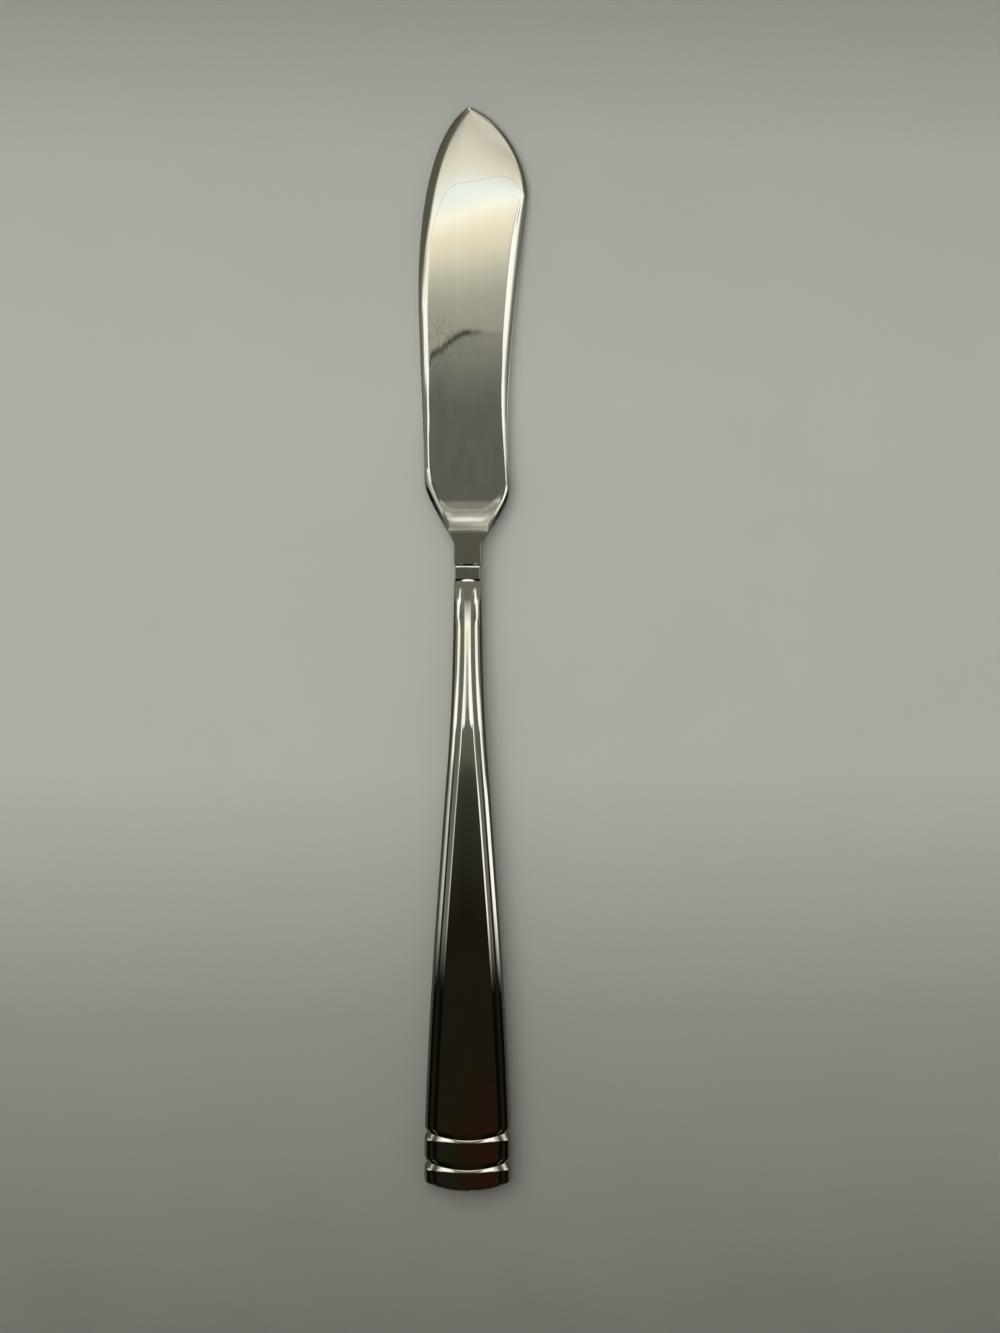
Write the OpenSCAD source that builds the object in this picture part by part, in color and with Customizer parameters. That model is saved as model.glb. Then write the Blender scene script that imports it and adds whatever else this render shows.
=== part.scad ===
// Butter knife with a hollow handle, lying on its back.
// Across X, along Y with the tip at +Y, up Z. The origin is under the middle of the knife.
// Inside the modules the knife is drawn from its butt end at y = 0, with the handle's seam at z = 0.

/* [Handle] */
// Length of the handle from its butt end to its mouth
handle_l = 98.5; // [88:0.5:110]
// Width of the handle across its end bands
handle_end_w = 13.9; // [12.5:0.1:16]
// Width of the handle at its mouth
handle_mouth_w = 4.3; // [4.2:0.1:5]
// Height of the front shell over the seam, at its fullest
front_h = 3.75; // [3.2:0.05:4.2]
// Depth of the back shell under the seam, down to the flat it rests on
back_h = 2.3; // [2.1:0.05:2.9]
// Height of either shell at the mouth
mouth_h = 1.65; // [1.55:0.05:1.8]
// Thickness of the stamped sheet
wall_t = 0.5; // [0.45:0.05:0.6]
// Thickness of the brazed seam between the shells
braze_t = 0.1; // [0.06:0.02:0.2]

/* [Handle panel] */
// Rounding of the handle's sides in plan
side_round = 0.4; // [0.25:0.05:0.45]
// Width from the handle's side to the crease, over the sloping ledge
ledge_w = 1.2; // [0.9:0.05:1.4]
// Rise of the ledge from the side to the crease
ledge_rise = 0.35; // [0.2:0.05:0.45]
// Width of the raised panel's rounded shoulder
panel_round = 0.9; // [0.6:0.05:1.2]
// Rise of that shoulder from the crease
panel_rise = 0.38; // [0.2:0.05:0.45]
// Length from the mouth over which the panel and its ledges rise out of a plain rounded bar
blend_l = 11; // [6:0.5:16]
// Width over which that plain bar rounds down to either side
bar_round_w = 1.5; // [1.1:0.05:1.8]
// How far it rounds down there
bar_round_h = 0.55; // [0.4:0.05:0.7]
// Crown of the front panel across its width
front_crown = 0.45; // [0.3:0.05:0.6]
// Crown of the back panel across its width
back_crown = 0.28; // [0.2:0.02:0.4]
// Depth that the resting flat takes off the back panel's crown
flat_depth = 0.14; // [0.08:0.02:0.18]

/* [End bands] */
// How far the butt end bows out at its middle
end_bow = 1.3; // [0.8:0.1:1.6]
// Radius of the butt end's corners
corner_r = 0.55; // [0.4:0.05:0.9]
// Number of grooves across the handle
groove_count = 2; // [1:1:3]
// Distance from the butt end to the bottom of the first groove, at the sides
groove_at = 4.7; // [4.2:0.1:5.2]
// Distance from one groove to the next
groove_pitch = 4.8; // [4:0.1:6]
// Depth of a groove at the handle's sides
groove_side_d = 0.45; // [0.2:0.05:0.5]
// Depth of a groove across the panel
groove_top_d = 0.32; // [0.2:0.02:0.4]
// Length of a groove's straight flank, which faces the blade, in the handle's outline
flank_l = 0.75; // [0.6:0.05:0.85]
// Length of that flank over the middle of the panel, where it is steep
flank_mid_l = 0.45; // [0.35:0.05:0.55]
// Length of that flank over the sides of the ledges, where it is gentle
flank_side_l = 1.25; // [0.95:0.05:1.5]
// Length over which the next band rolls down into a groove
roll_l = 1.1; // [0.7:0.05:1.4]

/* [Neck band] */
// Length of the neck band
collar_l = 2.4; // [1.8:0.1:3.2]
// Width of the neck band
collar_w = 4.1; // [3.9:0.05:4.15]
// Thickness of the neck band
collar_t = 3.1; // [2.9:0.05:3.2]
// Bevel at the ends of the neck band, the neck and the mouth
collar_bevel = 0.2; // [0.1:0.05:0.3]

/* [Blade] */
// Length of the straight neck
neck_l = 3.1; // [2:0.1:5]
// Width of the neck
neck_w = 4.4; // [4.2:0.1:5]
// Thickness of the neck
neck_t = 3.3; // [3.2:0.1:3.6]
// Rounding of the long edges of the neck and its band
neck_round = 0.25; // [0.15:0.05:0.4]
// Length of the blade from the neck to its tip
blade_l = 71; // [60:0.5:85]
// Length of the shoulders
shoulder_l = 10.4; // [9:0.1:13]
// Reach of the spreading edge from the centre line, at its shoulder
edge_shoulder = 6.95; // [6.2:0.05:7.6]
// Reach of the spreading edge, at its fullest
edge_reach = 8; // [7.4:0.05:9]
// Distance from the neck to that fullest place
edge_full_at = 38.7; // [34:0.1:44]
// Reach of the back of the blade from the centre line, at its shoulder
spine_shoulder = 6.75; // [6.2:0.05:7.4]
// Reach of the hump on the back of the blade
spine_reach = 9.55; // [8.6:0.05:10.4]
// Distance from the neck to the hump
spine_full_at = 56; // [50:0.1:60]
// Thickness of the blade at its shoulders
blade_t = 1.6; // [1.4:0.05:2]
// Thickness of the blade at its tip
tip_t = 1.15; // [1:0.05:1.4]
// Thickness left at the rim
rim_t = 0.5; // [0.4:0.05:0.7]
// Width of the bevel that runs round the blade
rim_w = 1.25; // [0.9:0.05:1.5]
// Rise of the blade's face from its rims to its middle
face_crown = 0.06; // [0.02:0.01:0.15]
// Length of the ramp from the neck down to the blade's face
ramp_l = 1.7; // [1.2:0.1:2.4]
// Distance from the neck to the foot of the ramp
ramp_foot = 4.1; // [3.4:0.1:5]

/* [Tang] */
// Length of the tang inside the handle
tang_l = 42; // [30:1:55]
// Width of the tang at the neck
tang_w = 2; // [1.6:0.1:2.1]
// Thickness of the tang at the neck
tang_t = 1.4; // [1.1:0.1:1.5]
// Width of the tang at its end
tang_end_w = 1.3; // [1:0.1:1.6]
// Thickness of the tang at its end
tang_end_t = 1; // [0.8:0.1:1.1]
// Gap round the tang inside the neck band
tang_gap = 0.03; // [0.02:0.01:0.06]
// Length of handle that is filled with cement past the tang's end
cement_past = 10; // [4:1:16]

/* [Hidden] */

overall_l = handle_l + collar_l + neck_l + blade_l;
neck_y = handle_l + collar_l;
blade_y = neck_y + neck_l;
// Where the tip lies, as a share of the step between the blade's two reaches
tip_share = 0.1;
tip_x = (spine_reach - edge_reach) * tip_share;
overrun = wall_t;
steel = "silver";

// Counts of steps along the curves
end_steps = 4;
taper_steps = 20;
mouth_steps = 5;
shoulder_steps = 28;
body_steps = 10;
point_steps = 16;
arc_steps = 3;

// How wide and tall the handle is: pairs of a place along it and a size, 0 at the mouth's and 1 at the full one
width_share = [[0, 1], [0.12, 0.975], [0.35, 0.742], [0.6, 0.381], [0.76, 0.138], [0.86, 0.056], [1, 0]];
front_share = [
    [0, 0.88], [0.12, 0.98], [0.4, 1], [0.64, 1], [0.7, 0.976], [0.74, 0.91],
    [0.78, 0.795], [0.86, 0.533], [0.9, 0.403], [0.935, 0.28], [0.965, 0.16], [1, 0]
];
back_share = [[0, 0.9], [0.12, 1], [0.35, 1], [0.6, 0.82], [0.76, 0.4], [0.86, 0.18], [1, 0]];

// Plan curves of the blade: the two inner points of each piece, as shares of the step from its start to its end
shoulder_edge_share = [[0, 0.14], [0.97, 0.67]];
body_edge_share = [[0.4, 0.31], [0.95, 0.84]];
point_edge_share = [[-0.02, 0.5], [0.3, 0.885]];
shoulder_spine_share = [[0, 0.16], [1.08, 0.5]];
body_spine_share = [[-0.43, 0.29], [0.4, 0.67]];
point_spine_share = [[-0.045, 0.21], [0.21, 0.8]];

// How round the rim's bevel is
rim_power = 1.9;

// Shares of the rim bevel's width at which it has an edge, of the face across the blade, and of the room that
// either side's bevel has near the tip
rim_width_share = [0, 0.16, 0.5, 1];
face_across_share = [0.14, 0.34];
rim_room_share = 0.42;

// The most of the half width that the ledge and the panel's shoulder take, and the least height of the hollow
ledge_most_share = 0.5;
round_most_share = 0.36;
hollow_least_share = 0.25;

// Share of the handle over which its stations lose their bow, and shares of a groove's roll that have an edge
bow_fade_share = 0.5;
roll_share = [0, 0.2, 0.5, 1];

// Shares of the side rounding's width at which it has an edge, and of its height that it loses at the side
side_share = [0, 0.3, 1];
side_low_share = 0.65;

// Shares of the panel shoulder's width at which it has an edge, and of the panel's crown
round_share = [0.25, 0.55, 1];
crown_share = [0.5, 0];

function mix(a, b, t) = a + (b - a) * t;
function ease(t) = let (u = min(max(t, 0), 1)) u * u * (3 - 2 * u);
function reverse(list) = [for (i = [len(list) - 1:-1:0]) list[i]];
function flatten(lists) = [for (list = lists) each list];

// A smooth curve through pairs of a place and a value, read at place p
function slope(pairs, i) =
    let (a = pairs[max(i - 1, 0)], b = pairs[min(i + 1, len(pairs) - 1)]) (b.y - a.y) / (b.x - a.x);
function smooth_at(pairs, p) =
    let (
        i = min(max([for (k = [0:len(pairs) - 1]) if (pairs[k].x <= p) k]), len(pairs) - 2),
        a = pairs[i], b = pairs[i + 1],
        gap = b.x - a.x, t = (p - a.x) / gap
    )
    a.y * (1 + 2 * t) * pow(1 - t, 2) + slope(pairs, i) * gap * t * pow(1 - t, 2)
    + b.y * t * t * (3 - 2 * t) + slope(pairs, i + 1) * gap * t * t * (t - 1);

// A cubic curve from a to b whose inner points are shares of the step between them
function curve_at(a, b, share, t) =
    let (
        p = [mix(a.x, b.x, share[0].x), mix(a.y, b.y, share[0].y)],
        q = [mix(a.x, b.x, share[1].x), mix(a.y, b.y, share[1].y)]
    )
    a * pow(1 - t, 3) + p * 3 * t * pow(1 - t, 2) + q * 3 * t * t * (1 - t) + b * pow(t, 3);

// A solid through rings of equally many points. In a ring, point j is opposite point m - 1 - j.
module loft(rings) {
    m = len(rings[0]);
    last = (len(rings) - 1) * m;
    sides = [
        for (k = [0:len(rings) - 2], j = [0:m - 1])
            let (a = k * m + j, b = k * m + (j + 1) % m)
                each [[a, b + m, b], [a, a + m, b + m]]
    ];
    caps = [
        for (j = [0:m / 2 - 2])
            let (a = j, b = j + 1, c = m - 2 - j, d = m - 1 - j)
                each [[a, c, d], [a, b, c], [last + a, last + c, last + b], [last + a, last + d, last + c]]
    ];
    polyhedron(points = flatten(rings), faces = concat(sides, caps));
}

// Sets the knife, drawn from its butt end, over the origin
module placed() {
    translate([(edge_reach - spine_reach) / 2, -overall_l / 2, back_h]) children();
}

// Depth of the grooves at station s, from 0 to 1: the next band rolls down into one, and the flank is straight
function groove_cut(s, flank) =
    max([
        for (i = [0:groove_count - 1])
            let (u = s - groove_at - i * groove_pitch)
                u < 0 ? max(0, 1 + u / flank) : pow(max(0, 1 - u / roll_l), 2)
    ]);

// How far the sides and the top draw in over the rounded butt end and over the mouth's bevel
function end_inset(s, r) = let (u = min((s - end_bow) / r, 1)) r * (1 - sqrt(1 - pow(1 - u, 2)));
function mouth_inset(s) = collar_bevel * max(0, 1 - (handle_l - s) / collar_bevel);

function half_width(s) =
    mix(handle_mouth_w, handle_end_w, smooth_at(width_share, s / handle_l)) / 2
    - groove_side_d * groove_cut(s, flank_l) - end_inset(s, corner_r) - mouth_inset(s);
function flank_at(s, x) = mix(flank_mid_l, flank_side_l, pow(x / half_width(s), 2));
function height_at(s, x, full_h, share) =
    mix(mouth_h, full_h, smooth_at(share, s / handle_l))
    - groove_top_d * groove_cut(s, flank_at(s, x)) - end_inset(s, corner_r) - mouth_inset(s);

// A station's line bows with the butt end near it and is straight further on
function station_y(s, x) =
    let (bow = end_bow * (1 - ease((s - groove_at - groove_pitch) / (handle_l * bow_fade_share))))
        s - bow * (1 - pow(x / half_width(s), 2));

// Widths of the ledge and of the panel's shoulder, which narrow with the handle
function ledge_at(s) = min(ledge_w, half_width(s) * ledge_most_share);
function round_at(s) = min(panel_round, half_width(s) * round_most_share);

// Height of a shell's outside at distance x from the centre line: the rounded side, the ledge that rises to
// the crease, the panel's shoulder and its crown, which flattens as the panel narrows
function side_z(d, edge) = edge * (1 - side_low_share * pow(1 - min(1, d / side_round), 2));
function panel_z(s, x, h, crown) =
    let (
        ledge = ledge_at(s), curve = round_at(s), d = half_width(s) - abs(x),
        inner = half_width(s) - ledge - curve,
        arch = crown * 2 * inner / handle_end_w,
        top = h - arch * min(1, pow(x / inner, 2)),
        edge = h - arch - panel_rise - ledge_rise,
        low = side_z(d, edge) + ledge_rise * min(1, d / ledge),
        t = min(max((d - ledge) / curve, 0), 1)
    )
    mix(low, top, sin(90 * t));

// Near the mouth the panel runs out into a plain rounded bar
function plain_z(s, x, h) =
    let (d = half_width(s) - abs(x), t = min(d / bar_round_w, 1))
        h - bar_round_h * (1 - sqrt(1 - pow(1 - t, 2)));
function outer_z(s, x, full_h, share, crown) =
    let (h = height_at(s, x, full_h, share), t = ease((handle_l - s) / blend_l))
        mix(plain_z(s, x, h), panel_z(s, x, h, crown), t);
function inner_z(s, x, full_h, share, crown) =
    max(outer_z(s, x, full_h, share, crown) - wall_t, wall_t * hollow_least_share);

// Places across a station, from its left edge to its right, that start inset from the edge
function across(s, inset) =
    let (
        a = half_width(s), inner = a - ledge_at(s) - round_at(s),
        left = concat(
            [for (q = side_share) if (inset == 0 || q == 1) a - max(inset, side_round * q)],
            [a - ledge_at(s)],
            [for (q = round_share) a - ledge_at(s) - round_at(s) * q],
            [for (q = crown_share) inner * q]
        )
    )
    concat([for (x = left) -x], [for (i = [len(left) - 2:-1:0]) left[i]]);

// A ring of the front shell's outside, or of its hollow, which keeps the wall's thickness
function shell_ring(s, full_h, share, crown, wall) =
    let (
        xs = across(s, wall),
        top = [
            for (x = xs)
                let (z = wall > 0 ? inner_z(s, x, full_h, share, crown) : outer_z(s, x, full_h, share, crown))
                    [x, station_y(s, x), z]
        ],
        seam = [for (x = reverse(xs)) [x, station_y(s, x), -(wall > 0 ? overrun : 0)]]
    )
    concat(top, seam);

// Stations along the handle: the rounded end, the grooves, the long taper and the mouth
end_stations = [for (k = [0:end_steps]) end_bow + corner_r * (1 - cos(90 * k / end_steps))];
groove_stations = [
    for (i = [0:groove_count - 1])
        let (c = groove_at + i * groove_pitch)
            each concat([c - flank_side_l, c - flank_l, c - flank_mid_l], [for (q = roll_share) c + roll_l * q])
];
taper_start = groove_at + (groove_count - 1) * groove_pitch + roll_l;
ridge_start = handle_l - blend_l;
taper_stations = [for (k = [1:taper_steps]) mix(taper_start, ridge_start, k / taper_steps)];
mouth_stations = [for (k = [1:mouth_steps]) mix(ridge_start, handle_l - collar_bevel, k / mouth_steps)];
stations = concat(end_stations, groove_stations, taper_stations, mouth_stations, [handle_l]);
hollow_stations = concat(
    [end_bow + wall_t, end_bow + corner_r + wall_t],
    groove_stations, taper_stations, mouth_stations, [handle_l]
);

// The last ring of a hollow, moved out past the mouth
function past_mouth(ring) = [for (q = ring) q + [0, overrun, 0]];

module half_shell(full_h, share, crown) {
    hollow = [for (s = hollow_stations) shell_ring(s, full_h, share, crown, wall_t)];
    difference() {
        loft([for (s = stations) shell_ring(s, full_h, share, crown, 0)]);
        loft(concat(hollow, [past_mouth(hollow[len(hollow) - 1])]));
    }
}

front_full = front_h - braze_t / 2;
back_full = back_h + flat_depth - braze_t / 2;

module handle_front_shell() {
    color(steel) placed() translate([0, 0, braze_t / 2]) half_shell(front_full, front_share, front_crown);
}

module handle_back_shell() {
    color(steel) placed() difference() {
        translate([0, 0, -braze_t / 2]) mirror([0, 0, 1]) half_shell(back_full, back_share, back_crown);
        translate([-handle_end_w, 0, -2 * back_h]) cube([2 * handle_end_w, handle_l, back_h]);
    }
}

// The seam's outline in plan, at a distance inside the handle's edge
function seam_outline(list, inset) =
    let (s0 = list[0])
    concat(
        [for (s = reverse(list)) [-half_width(s) + inset, s]],
        [for (x = across(s0, inset)) if (abs(x) < half_width(s0) - inset) [x, station_y(s0, x)]],
        [for (s = list) [half_width(s) - inset, s]]
    );

module seam_braze() {
    color("gainsboro") placed() translate([0, 0, -braze_t / 2]) linear_extrude(braze_t) difference() {
        polygon(seam_outline(stations, 0));
        polygon(seam_outline(concat(hollow_stations, [handle_l + overrun]), wall_t));
    }
}

// The tang, with a gap round it
module tang_solid(gap) {
    tail = [tang_end_w / 2 + gap, handle_l - tang_l - gap, tang_end_t / 2 + gap];
    root = [tang_w / 2 + gap, neck_y + overrun, tang_t / 2 + gap];
    loft([
        for (q = [tail, root])
            [[-q.x, q.y, -q.z], [-q.x, q.y, q.z], [q.x, q.y, q.z], [q.x, q.y, -q.z]]
    ]);
}

// The filling takes both shells' insides up to a station past the tang's end
cement_stations = [for (s = hollow_stations) if (s > handle_l - tang_l - cement_past) s];
module tang_cement() {
    color("ivory") placed() difference() {
        loft([
            for (s = cement_stations)
                let (xs = across(s, wall_t))
                concat(
                    [for (x = xs) [x, s, braze_t / 2 + inner_z(s, x, front_full, front_share, front_crown)]],
                    [for (x = reverse(xs)) [x, s, -braze_t / 2 - inner_z(s, x, back_full, back_share, back_crown)]]
                )
        ]);
        tang_solid(0);
    }
}

// A ring of the neck band: a rounded oblong
function band_ring(y, w, t, r) =
    let (
        arc = [for (k = [0:arc_steps]) 90 * k / arc_steps],
        left = concat(
            [for (a = arc) [-w / 2 + r * (1 - sin(a)), -t / 2 + r * (1 - cos(a))]],
            [for (a = reverse(arc)) [-w / 2 + r * (1 - sin(a)), t / 2 - r * (1 - cos(a))]]
        )
    )
    concat([for (q = left) [q.x, y, q.y]], [for (q = reverse(left)) [-q.x, y, q.y]]);

module neck_collar() {
    b = collar_bevel;
    color(steel) placed() difference() {
        loft([
            band_ring(handle_l, collar_w - 2 * b, collar_t - 2 * b, neck_round),
            band_ring(handle_l + b, collar_w, collar_t, neck_round),
            band_ring(neck_y - b, collar_w, collar_t, neck_round),
            band_ring(neck_y, collar_w - 2 * b, collar_t - 2 * b, neck_round)
        ]);
        tang_solid(tang_gap);
    }
}

// How far the surface has come from the neck's form to the blade's, at height y over the neck
function on_face(y) = ease((y - ramp_foot + ramp_l) / ramp_l);
function on_blade(y) = ease(y / ramp_foot);
function tilt_z(y) = -max(0, y - ramp_foot) / (blade_l - ramp_foot) * (back_h - tip_t / 2 - face_crown);
function neck_inset(y) = collar_bevel * max(0, 1 - (y + neck_l) / collar_bevel);
function plate_t(y) = mix(blade_t, tip_t, max(0, y / blade_l));
function face_half(y) = mix(neck_t, plate_t(y), on_face(y)) / 2 - neck_inset(y);
function edge_half(y) = face_half(y) - mix(neck_round, (plate_t(y) - rim_t) / 2, on_blade(y));
function rim_at(y) = mix(neck_round, rim_w, on_blade(y));

// One side of the blade's plan from the neck's foot to the tip, sign -1 for the spreading edge
function side_line(sign, shoulder, reach, full_at, a_share, b_share, c_share) =
    let (
        foot = [neck_w / 2, 0], sh = [shoulder, shoulder_l],
        full = [reach, full_at], tip = [sign * tip_x, blade_l],
        line = concat(
            [[neck_w / 2 - collar_bevel, -neck_l], [neck_w / 2, collar_bevel - neck_l]],
            [for (k = [0:shoulder_steps - 1]) curve_at(foot, sh, a_share, k / shoulder_steps)],
            [for (k = [0:body_steps - 1]) curve_at(sh, full, b_share, k / body_steps)],
            [for (k = [0:point_steps - 1]) curve_at(full, tip, c_share, sin(90 * k / point_steps))]
        )
    )
    [for (q = line) [sign * q.x, q.y]];

// Where an edge line lies when it is moved inwards by d
function inwards(line, i, d) =
    let (
        a = line[max(i - 1, 0)], b = line[min(i + 1, len(line) - 1)],
        run = line[i].y <= 0 ? [0, 1] : (b - a) / norm(b - a),
        turn = line[0].x < 0 ? 1 : -1
    )
    line[i] + d * turn * [run.y, -run.x];

// Height of the upper side over the middle plane, where the rim's bevel has risen by share u of its width
function plate_z(y, u) = mix(edge_half(y), face_half(y), 1 - pow(1 - u, rim_power));

// The points from the lower face round the edge to the upper face, on one side
function side_points(line, other, i) =
    let (
        rim = rim_at(line[i].y),
        width = min(rim, rim_room_share * norm(line[i] - other[i])),
        own = inwards(line, i, width), far = inwards(other, i, width),
        rims = [
            for (q = rim_width_share)
                let (p = inwards(line, i, width * q)) [p.x, p.y, plate_z(own.y, q * width / rim)]
        ],
        face = [
            for (q = face_across_share)
                let (p = mix(own, far, q)) [p.x, p.y, plate_z(p.y, width / rim) + face_crown * 4 * q * (1 - q)]
        ],
        half = concat(rims, face)
    )
    concat(
        [for (p = reverse(half)) [p.x, p.y, tilt_z(p.y) - p.z]],
        [for (p = half) [p.x, p.y, tilt_z(p.y) + p.z]]
    );

module blade() {
    left = side_line(
        -1, edge_shoulder, edge_reach, edge_full_at, shoulder_edge_share, body_edge_share, point_edge_share
    );
    right = side_line(
        1, spine_shoulder, spine_reach, spine_full_at, shoulder_spine_share, body_spine_share, point_spine_share
    );
    rings = [
        for (i = [0:len(left) - 1])
            concat(side_points(left, right, i), reverse(side_points(right, left, i)))
    ];
    color(steel) placed() union() {
        translate([0, blade_y, 0]) loft(rings);
        tang_solid(0);
    }
}

blade();
neck_collar();
handle_front_shell();
handle_back_shell();
seam_braze();
tang_cement();
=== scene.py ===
# Butter knife with a hollow handle, lying on a pale table and seen from above
import math
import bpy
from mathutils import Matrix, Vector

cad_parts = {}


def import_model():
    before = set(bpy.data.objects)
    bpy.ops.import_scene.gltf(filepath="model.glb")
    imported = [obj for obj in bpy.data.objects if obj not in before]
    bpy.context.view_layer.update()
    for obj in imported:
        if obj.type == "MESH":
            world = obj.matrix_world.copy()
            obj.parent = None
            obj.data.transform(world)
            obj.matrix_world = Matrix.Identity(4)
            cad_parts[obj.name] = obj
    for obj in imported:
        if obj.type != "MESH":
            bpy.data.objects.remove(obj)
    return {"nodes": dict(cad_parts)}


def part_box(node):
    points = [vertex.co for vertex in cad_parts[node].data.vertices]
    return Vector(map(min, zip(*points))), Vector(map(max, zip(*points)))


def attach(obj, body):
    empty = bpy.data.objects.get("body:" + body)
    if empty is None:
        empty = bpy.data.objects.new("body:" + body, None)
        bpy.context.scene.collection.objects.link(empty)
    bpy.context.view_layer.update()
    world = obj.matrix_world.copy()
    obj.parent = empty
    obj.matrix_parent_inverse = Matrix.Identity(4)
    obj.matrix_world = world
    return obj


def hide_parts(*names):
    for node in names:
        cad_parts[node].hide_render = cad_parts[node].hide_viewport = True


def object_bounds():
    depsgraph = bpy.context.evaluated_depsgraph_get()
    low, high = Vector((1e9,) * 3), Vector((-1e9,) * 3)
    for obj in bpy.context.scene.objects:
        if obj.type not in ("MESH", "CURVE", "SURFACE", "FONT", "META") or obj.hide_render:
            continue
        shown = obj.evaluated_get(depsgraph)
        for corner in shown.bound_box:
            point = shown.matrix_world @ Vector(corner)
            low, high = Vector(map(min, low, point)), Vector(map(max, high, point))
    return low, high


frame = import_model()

from types import SimpleNamespace

import bpy
import numpy as np

mm = 0.001
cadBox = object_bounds()
print("frame loaded:", len(frame["nodes"]), "CAD nodes")


# A value in a node tree: plain Python sums on it add Math nodes
class Value:
    def __init__(self, tree, socket):
        self.tree = tree
        self.socket = socket

    def math(self, operation, *values):
        return self.tree.add("ShaderNodeMath", {"operation": operation}, dict(enumerate(values)))

    def pick(self, output):
        return Value(self.tree, self.socket.node.outputs[output])

    def __add__(self, other):
        return self.math("ADD", self, other)

    def __radd__(self, other):
        return self.math("ADD", other, self)

    def __sub__(self, other):
        return self.math("SUBTRACT", self, other)

    def __rsub__(self, other):
        return self.math("SUBTRACT", other, self)

    def __mul__(self, other):
        return self.math("MULTIPLY", self, other)

    def __rmul__(self, other):
        return self.math("MULTIPLY", other, self)

    def __truediv__(self, other):
        return self.math("DIVIDE", self, other)

    def __rtruediv__(self, other):
        return self.math("DIVIDE", other, self)

    def __pow__(self, other):
        return self.math("POWER", self, other)


# A node tree, or the tree of a material or world, emptied for new nodes
class Tree:
    def __init__(self, owner):
        if isinstance(owner, bpy.types.NodeTree):
            self.nodeTree = owner
        else:
            owner.use_nodes = True
            self.nodeTree = owner.node_tree
        self.nodeTree.nodes.clear()

    # Adds a node: its settings come first, then the values or links of its sockets
    def add(self, kind, settings=None, sockets=None, output=0):
        node = self.nodeTree.nodes.new(kind)
        for name, value in (settings or {}).items():
            if name == "stops":
                self.setStops(node.color_ramp, value)
            else:
                setattr(node, name, value)
        for key, value in (sockets or {}).items():
            if isinstance(value, Value):
                self.nodeTree.links.new(value.socket, node.inputs[key])
            else:
                node.inputs[key].default_value = value
        return Value(self, node.outputs[output]) if len(node.outputs) else None

    def setStops(self, ramp, stops):
        while len(ramp.elements) < len(stops):
            ramp.elements.new(1)
        for element, (place, colour) in zip(ramp.elements, stops):
            element.position = place
            element.color = colour

    # Tones along a value, from rows of a place and the tone there
    def ramp(self, value, rows):
        low, high = rows[0][0], rows[-1][0]
        stops = [((place - low) / (high - low), tone(*colour)) for place, *colour in rows]
        return self.add("ShaderNodeValToRGB", {"stops": stops}, {0: (value - low) / (high - low)})

    def mixColours(self, share, a, b):
        return self.add("ShaderNodeMix", {"data_type": "RGBA"}, {0: share, 6: a, 7: b}, output=2)

    def mixShaders(self, share, a, b):
        return self.add("ShaderNodeMixShader", {}, {0: share, 1: a, 2: b})

    def axes(self, vector):
        return self.add("ShaderNodeSeparateXYZ", {}, {0: vector})

    def bump(self, look, height):
        sockets = {"Strength": look["bumpStrength"], "Distance": look["bumpDistance"], "Height": height}
        return self.add("ShaderNodeBump", {}, sockets)

    def noise(self, vector, scale, detail=2, roughness=0.5):
        sockets = {"Vector": vector, "Scale": scale, "Detail": detail, "Roughness": roughness}
        return self.add("ShaderNodeTexNoise", {}, sockets)

    def stretched(self, vector, scale, place=(0, 0, 0)):
        return self.add("ShaderNodeMapping", {}, {"Vector": vector, "Scale": scale, "Location": place})


# A sum that works on numbers, on arrays and on values in a node tree
def sumOf(operation, plain):
    def work(*values):
        nodes = [value for value in values if isinstance(value, Value)]
        return nodes[0].math(operation, *values) if nodes else plain(*values)
    return work


larger, smaller = sumOf("MAXIMUM", np.maximum), sumOf("MINIMUM", np.minimum)
plainSize, signOf = sumOf("ABSOLUTE", np.abs), sumOf("SIGN", np.sign)
rootOf, sineOf, arcOf = sumOf("SQRT", np.sqrt), sumOf("SINE", np.sin), sumOf("ARCTANGENT", np.arctan)


# The angle, in degrees, whose slope is given
def angleOf(slope):
    return arcOf(slope) * (180 / math.pi)


def limited(a):
    return smaller(larger(a, 0), 1)


def mix(a, b, share):
    return a + (b - a) * share


def ease(a):
    share = limited(a)
    return share * share * (3 - 2 * share)


# Rises from 0 to 1 over a run that begins at the start
def past(a, start, run):
    return ease((a - start) / run)


# Falls from 1 to 0 over a run that finishes at the end
def before(a, end, run):
    return ease((end - a) / run)


# A colour as a screen shows it, from 0 to 255, made linear for a shader
def tone(red, green, blue):
    shares = [value / 255 for value in (red, green, blue)]
    return (*[((c + 0.055) / 1.055) ** 2.4 if c > 0.04045 else c / 12.92 for c in shares], 1)


# For each point, the step from the one before it to the one after it
def spansOf(points):
    return np.concatenate([points[1:], points[-1:]]) - np.concatenate([points[:1], points[:-1]])


# A smooth curve through pairs of a place and a value
def smoothAt(pairs, places):
    knots = np.array(pairs, float)
    x, y = knots[:, 0], knots[:, 1]
    slopes = spansOf(y) / spansOf(x)
    i = np.clip(np.searchsorted(x, places, side="right") - 1, 0, len(x) - 2)
    gap = x[i + 1] - x[i]
    t = (places - x[i]) / gap
    start = y[i] * (1 + 2 * t) * (1 - t) ** 2 + slopes[i] * gap * t * (1 - t) ** 2
    return start + y[i + 1] * t * t * (3 - 2 * t) + slopes[i + 1] * gap * t * t * (t - 1)


# Even steps from one value to another, without the first
def stepsTo(a, b, count):
    return np.linspace(a, b, count + 1)[1:]


# Faces between rings of m points each, and from the last ring to the first if it is closed
def ringFaces(count, m, closed=False):
    return [(i * m + j, i * m + (j + 1) % m, (i + 1) % count * m + (j + 1) % m, (i + 1) % count * m + j)
            for i in range(count if closed else count - 1) for j in range(m)]


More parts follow.
